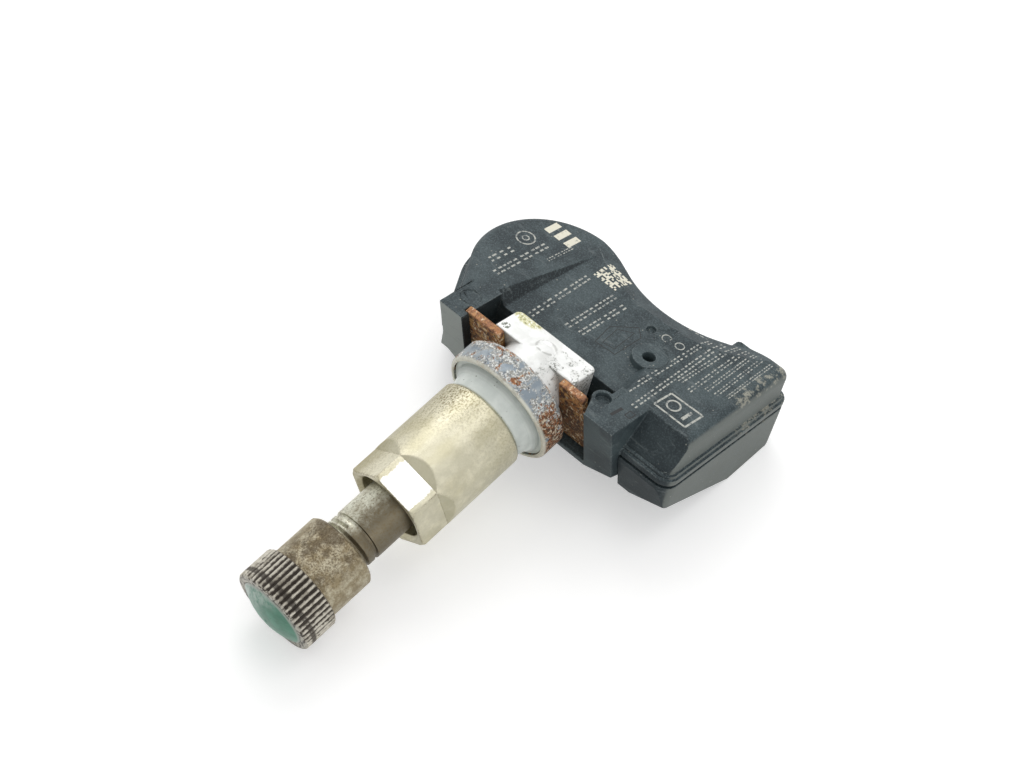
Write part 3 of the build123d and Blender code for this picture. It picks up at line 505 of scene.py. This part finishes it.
def grommet_look():
    """Pale grey rubber with a darker ring of painted shade and a few specks."""
    look = Look("seal_rubber", -DROOP)
    broad = look.noise(0.4, 4.0)
    colour = look.two_tone(broad, 0.35, 0.65, (226, 232, 227), (210, 217, 212))
    # Painted shade: a darker ring round the seal.
    colour = look.tint(colour, (158, 165, 161), look.near(look.radius(), GROMMET_RING, 0.4, 0.1), 0.45)
    specks = look.times(look.step(look.cells(1.3), 0.16, 0.08), look.step(look.noise(0.5), 0.48, 0.56))
    colour = look.tint(colour, (84, 80, 70), specks, 0.75)
    return look.finish(colour, look.scaled(broad, 0.2, 0.4), 0.0, look.noise(4.0, 3.0), 0.012)


def insert_look():
    """Green plastic with a painted highlight toward the upper left, a pale rim and scratches."""
    look = Look("insert_plastic", -DROOP)
    colour = look.two_tone(look.noise(0.5, 4.0, 0.6), 0.35, 0.65, (56, 120, 95), (76, 142, 116))
    # Painted highlight: a pale sheen toward the upper left.
    toward = look.calc("SUBTRACT", look.z, look.y)
    painted_sheen = look.times(look.step(toward, 1.0, 6.0), look.step(look.noise(0.9, 5.0, 0.7), 0.36, 0.6))
    colour = look.tint(colour, (192, 207, 197), painted_sheen, 0.85)
    colour = look.tint(colour, (178, 180, 172), look.step(look.radius(), 4.72, 4.95), 0.7)
    scratch = look.noise(1.6, 4.0, 0.6, look.stretched(1.0, 0.3, 2.5), 0.4)
    return look.finish(colour, look.scaled(scratch, 0.3, 0.18), 0.0, scratch, 0.02)


def print_look():
    """Thin worn print."""
    look = Look("deck_print")
    colour = look.two_tone(look.noise(1.7, 5.0, 0.7), 0.4, 0.52, (104, 110, 110), (186, 187, 179))
    return look.finish(colour, 0.6, 0.0, look.noise(6.0, 2.0), 0.01)


def bold_print_look():
    """Pale, thicker print."""
    look = Look("deck_print_bold")
    colour = look.two_tone(look.noise(1.4, 5.0, 0.7), 0.34, 0.44, (168, 165, 150), (228, 224, 206))
    return look.finish(colour, 0.55, 0.0, look.noise(6.0, 2.0), 0.01)


def engraved_look():
    """Dark lines of the moulding."""
    look = Look("deck_engraved")
    colour = look.blend(look.noise(2.0, 4.0), srgb(14, 16, 17), srgb(26, 29, 31))
    return look.finish(colour, 0.6, 0.0, look.noise(6.0, 2.0), 0.01)


# Slots with a plain finish: dark tone, light tone, scale of the mottling, roughness and metal share
plain_slots = {
    "washer_plastic": ((222, 222, 214), (236, 236, 230), 0.8, 0.4),
    "core_brass": ((178, 148, 88), (206, 176, 112), 1.2, 0.35, 0.9),
    "core_rubber": ((34, 34, 34), (50, 50, 49), 1.0, 0.6),
    "spring_steel": ((168, 168, 166), (196, 196, 194), 1.4, 0.32, 0.9),
    "board_laminate": ((36, 92, 56), (48, 112, 68), 0.6, 0.45),
    "cell_steel": ((176, 177, 178), (204, 205, 206), 0.9, 0.3, 0.9),
    "chip_resin": ((36, 36, 37), (50, 50, 51), 2.0, 0.55),
    "ferrite": ((52, 52, 56), (68, 68, 72), 1.5, 0.6),
    "copper_wire": ((168, 98, 56), (196, 122, 74), 1.8, 0.4, 0.8),
}
looks = {
    "housing_plastic": housing_look(),
    "valve_metal": valve_look(),
    "nut_metal": nut_look(),
    "cap_metal": cap_look(),
    "cup_steel": cup_look(),
    "clip_steel": clip_look(),
    "seal_rubber": grommet_look(),
    "insert_plastic": insert_look(),
}
for slot, values in plain_slots.items():
    looks[slot] = plain_look(slot, *values)
for subpart in frame["record"]["subparts"]:
    mesh = nodes[subpart["node"]].data
    mesh.materials.clear()
    mesh.materials.append(looks[subpart["material_slot"]])


# Pieces of the scene that stand in for nodes
def add_bevel(piece, width, angle):
    """Rounds the edges of a piece that are sharper than an angle."""
    bevel = piece.modifiers.new("bevel", "BEVEL")
    bevel.width = width * MM
    bevel.segments = 2
    bevel.limit_method = "ANGLE"
    bevel.angle_limit = angle
    bevel.use_clamp_overlap = False
    return bevel


def soften(node, width):
    """Rounds the sharp edges of a node a little."""
    weld = node.modifiers.new("weld", "WELD")
    weld.merge_threshold = WELD_GAP * MM
    bevel = add_bevel(node, width, SHARP_ANGLE)
    bevel.miter_outer = "MITER_ARC"
    normal = node.modifiers.new("normals", "WEIGHTED_NORMAL")
    normal.keep_sharp = True


def new_piece(name, mesh, material, body):
    """A piece of the scene that moves with a body and takes its finish from a slot."""
    mesh.materials.clear()
    mesh.materials.append(material)
    piece = bpy.data.objects.new(name, mesh)
    bpy.context.scene.collection.objects.link(piece)
    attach(piece, body)
    return piece


def thread_cutter():
    """A closed prism that winds along the stem, right-handed."""
    mesh = bmesh.new()
    count = int((THREAD_END - THREAD_START) / THREAD_PITCH * THREAD_STEPS)
    rings = []
    for step in range(count + 1):
        angle = step * math.tau / THREAD_STEPS
        station = THREAD_START + step * THREAD_PITCH / THREAD_STEPS
        corners = [(station - THREAD_HALF, THREAD_OUTER), (station, THREAD_ROOT),
                   (station + THREAD_HALF, THREAD_OUTER)]
        rings.append([mesh.verts.new(valve_point(s, r, angle)) for s, r in corners])
    for first, second in zip(rings, rings[1:]):
        for corner in range(3):
            after = (corner + 1) % 3
            mesh.faces.new((first[corner], first[after], second[after], second[corner]))
    mesh.faces.new(rings[0])
    mesh.faces.new(reversed(rings[-1]))
    bmesh.ops.recalc_face_normals(mesh, faces=mesh.faces)
    data = bpy.data.meshes.new("thread_cutter")
    mesh.to_mesh(data)
    mesh.free()
    return bpy.data.objects.new("thread_cutter", data)


def threaded_stem():
    """The mesh of the stem with the thread cut into it."""
    mesh = bmesh.new()
    mesh.from_mesh(nodes["valve_stem"].data)
    bmesh.ops.remove_doubles(mesh, verts=mesh.verts, dist=WELD_GAP * MM)
    data = bpy.data.meshes.new("stem_source")
    mesh.to_mesh(data)
    mesh.free()
    source = bpy.data.objects.new("stem_source", data)
    cutter = thread_cutter()
    for each in (source, cutter):
        bpy.context.scene.collection.objects.link(each)
    cut = source.modifiers.new("thread", "BOOLEAN")
    cut.operation = "DIFFERENCE"
    cut.solver = "EXACT"
    cut.object = cutter
    add_bevel(source, THREAD_ROUNDING, THREAD_BEVEL_ANGLE)
    result = source.evaluated_get(bpy.context.evaluated_depsgraph_get())
    data = bpy.data.meshes.new_from_object(result)
    for each in (source, cutter):
        bpy.data.objects.remove(each)
    if "custom_normal" in data.attributes:
        data.attributes.remove(data.attributes["custom_normal"])
    data.shade_smooth()
    data.set_sharp_from_angle(angle=STEM_SHARP_ANGLE)
    return data


stem = new_piece("stem_threaded", threaded_stem(), looks["valve_metal"], "sensor_body")
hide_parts("valve_stem")

spring = new_piece("spring_coil", nodes["core_spring"].data.copy(), looks["spring_steel"],
                   "sensor_body")
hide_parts("core_spring")
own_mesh(spring)

for name, width in EDGE_ROUNDING.items():
    soften(nodes[name], width)

# Marks on the deck: plain dashes, bars, rings and outlines laid on the moulding
rng = random.Random(MARK_SEED)
moulding = BVHTree.FromObject(nodes["housing"], bpy.context.evaluated_depsgraph_get())


def landed(back, side):
    """Where a point above the deck meets the moulding, and the normal there."""
    start = deck_point(back, side, MARK_RAY_LIFT)
    place, normal, _, _ = moulding.ray_cast(start, -NORMAL, MARK_RAY_LENGTH * MM)
    return place, normal


class Marks:
    """Flat quads laid on the housing, gathered in one piece."""

    def __init__(self):
        self.mesh = bmesh.new()

    def quad(self, corners):
        """Lays four deck points on the moulding, unless they span an edge of it."""
        hits = [landed(back, side) for back, side in corners]
        if any(place is None for place, _ in hits):
            return
        origin, up = hits[0]
        if any(up.dot(normal) < MARK_SAME_FACE for _, normal in hits):
            return
        if any(abs((place - origin).dot(up)) > MARK_STEP * MM for place, _ in hits):
            return
        verts = [self.mesh.verts.new(place + up * MARK_LIFT * MM) for place, _ in hits]
        face = self.mesh.faces.new(verts)
        face.normal_update()
        if face.normal.dot(up) < 0:
            face.normal_flip()

    def bar(self, start, end, width):
        """A straight bar between two deck points."""
        start = Vector(start)
        end = Vector(end)
        run = end - start
        across = Vector((-run.y, run.x)).normalized() * width / 2
        self.quad([tuple(start - across), tuple(end - across), tuple(end + across), tuple(start + across)])

    def row(self, start, end, height):
        """A double row of plain dashes between two deck points."""
        run = Vector(end) - Vector(start)
        length = run.length
        along = run / length
        across = Vector((-along.y, along.x)) * height * DASH_OFFSET
        done = 0.0
        while done < length:
            dash = min(rng.uniform(*DASH_LENGTHS) * height / DASH_FOR_HEIGHT, length - done)
            begin = Vector(start) + along * done
            for shift in (-1, 1):
                trim = along * rng.uniform(*DASH_TRIMS) * dash
                first = begin + across * shift
                self.bar(first, first + along * dash - trim, height * DASH_WIDTH)
            done += dash + rng.choice(DASH_GAPS) * height / DASH_FOR_HEIGHT

    def ring(self, centre, radius, width, steps=40):
        """A plain ring."""
        for step in range(steps):
            corners = []
            for turn, reach in ((step, radius), (step + 1, radius), (step + 1, radius - width),
                                (step, radius - width)):
                angle = turn * math.tau / steps
                corners.append((centre[0] + reach * math.cos(angle), centre[1] + reach * math.sin(angle)))
            self.quad(corners)

    def outline(self, points, width):
        """A closed outline of straight bars."""
        for start, end in zip(points, points[1:] + points[:1]):
            self.bar(start, end, width)

    def block(self, corner, size, cells):
        """A square of cells filled by a plain formula."""
        cell = size / cells
        for row in range(cells):
            for column in range(cells):
                value = CELL_BY_ROW * row + CELL_BY_COLUMN * column + CELL_BY_BOTH * row * column
                if value % CELL_CYCLE < CELL_FILLED:
                    back = corner[0] + row * cell
                    side = corner[1] + column * cell
                    self.quad([(back, side), (back + cell, side), (back + cell, side + cell),
                               (back, side + cell)])

    def piece(self, name, material):
        """Makes the piece, which moves with the housing."""
        data = bpy.data.meshes.new(name)
        self.mesh.to_mesh(data)
        self.mesh.free()
        new_piece(name, data, material, "sensor_body")


# Rows of dashes: start, end and height, with deck points as distance behind the arms and sideways
dash_rows = [
    ((16.6, -16.9), (11.9, -17.2), 1.5), ((21.4, -14.5), (10.7, -14.8), 1.5),
    ((24.2, -11.9), (19.1, -12.2), 0.8), ((21.7, -6.5), (9.9, -6.9), 1.4),
    ((21.8, -1.5), (12.2, -2.1), 1.3), ((21.4, 0.7), (12.2, 0.0), 1.3),
    ((26.4, 3.2), (27.0, 12.0), 1.3), ((26.3, 12.8), (8.3, 12.1), 1.1),
    ((27.6, 14.3), (6.4, 14.6), 1.2), ((29.3, 15.9), (15.6, 15.5), 1.0),
    ((29.4, 17.3), (15.2, 17.4), 1.0), ((29.3, 18.6), (17.4, 18.8), 0.9),
    ((29.3, 19.9), (17.4, 20.2), 0.9), ((29.2, 21.4), (18.6, 21.5), 0.8),
]
small_marks = Marks()
for start, end, height in dash_rows:
    small_marks.row(start, end, height)
small_marks.ring((20.1, -17.4), 1.5, 0.22)
small_marks.ring((20.1, -17.4), 0.6, 0.2)
small_marks.ring((21.4, 8.6), 0.75, 0.16, 24)
small_marks.ring((21.2, 11.0), 0.75, 0.16, 24)
small_marks.outline([(9.4, 16.0), (12.9, 16.2), (13.1, 21.6), (9.4, 21.4)], 0.3)
small_marks.ring((11.3, 17.9), 1.1, 0.26, 30)
small_marks.bar((10.2, 20.2), (12.3, 20.3), 0.5)
small_marks.piece("deck_rows", print_look())

bold_marks = Marks()
for side in (-16.6, -14.7, -12.8):
    bold_marks.bar((23.8, side), (26.5, side + 0.1), 1.15)
bold_marks.block((22.7, -6.4), 4.2, 14)
bold_marks.piece("deck_fields", bold_print_look())

dark_marks = Marks()
dark_marks.outline([(13.2, 2.4), (16.9, 1.9), (19.9, 4.7), (18.6, 6.2), (13.5, 5.8)], 0.12)
dark_marks.outline([(13.9, 3.2), (17.3, 2.9), (18.6, 5.0), (14.2, 5.1)], 0.1)
dark_marks.bar((2.9, 13.7), (5.1, 13.9), 0.5)
dark_marks.outline([(4.4, 14.9), (5.6, 14.9), (5.6, 15.8), (4.4, 15.8)], 0.14)
dark_marks.piece("deck_lines", engraved_look())


# Floor, light and camera
def floor_look():
    """Near white, with a glow that only the rays that see the background pick up."""
    look = Look("floor")
    colour = look.blend(look.noise(0.02, 2.0), (0.77, 0.77, 0.77, 1), (0.79, 0.79, 0.785, 1))
    glow = look.times(look.background(), FLOOR_GLOW)
    return look.finish(colour, 0.9, **{"Emission Color": WHITE, "Emission Strength": glow,
                                       "Specular IOR Level": 0.0})


def studio_world():
    """A sky that is lighter toward one side, and white for the rays that see the background."""
    world = bpy.data.worlds.new("studio")
    world.use_nodes = True
    kit = NodeKit(world.node_tree)
    place = kit.add("TexCoord", {})
    toward = kit.add("VectorMath", {0: place.outputs["Generated"], 1: SKY_TOWARD}, operation="DOT_PRODUCT")
    sky = kit.add("MapRange", {"Value": toward.outputs["Value"],
                               "From Min": SKY_SPREAD[0], "From Max": SKY_SPREAD[1],
                               "To Min": SKY_LEVELS[0], "To Max": SKY_LEVELS[1]})
    level = kit.add("MapRange", {"Value": kit.background(), "To Min": sky.outputs["Result"], "To Max": 1.0})
    kit.wire(kit.tree.nodes["Background"], {"Color": WHITE, "Strength": level.outputs["Result"]})
    return world


def lamp(name, place, aim, size, power):
    """A soft square light."""
    light = bpy.data.lights.new(name, "AREA")
    light.size = size
    light.energy = power
    holder = bpy.data.objects.new(name, light)
    bpy.context.scene.collection.objects.link(holder)
    holder.location = place
    holder.rotation_euler = (Vector(aim) - Vector(place)).to_track_quat("-Z", "Y").to_euler()


def photo_camera():
    """The camera that was fitted to the photo."""
    back = CAMERA_BACK.normalized()
    up = back.cross(CAMERA_RIGHT).normalized()
    right = up.cross(back)
    data = bpy.data.cameras.new("camera")
    data.sensor_fit = "HORIZONTAL"
    data.sensor_width = CAMERA_SENSOR
    data.lens = CAMERA_LENS
    data.clip_start = CAMERA_NEAR
    camera = bpy.data.objects.new("camera", data)
    bpy.context.scene.collection.objects.link(camera)
    turn = Matrix((right, up, back)).transposed().to_4x4()
    camera.matrix_world = Matrix.Translation(CAMERA_PLACE) @ turn
    return camera


bpy.ops.mesh.primitive_plane_add(size=2.0, location=(0, 0, cad_bounds[0].z))
floor = bpy.context.object
floor.name = "floor"
floor.data.materials.append(floor_look())

lamp("key", place=(-0.2, -0.22, 0.3), aim=(-0.005, 0, 0), size=0.28, power=0.57)
lamp("top", place=(-0.1, 0.1, 0.45), aim=(0, 0, 0), size=0.2, power=0.19)
lamp("fill", place=(0.12, 0.34, 0.14), aim=(0, 0, 0), size=0.2, power=0.2)

bpy.context.scene.world = studio_world()
bpy.context.scene.camera = photo_camera()
bpy.context.scene.view_settings.view_transform = "Standard"
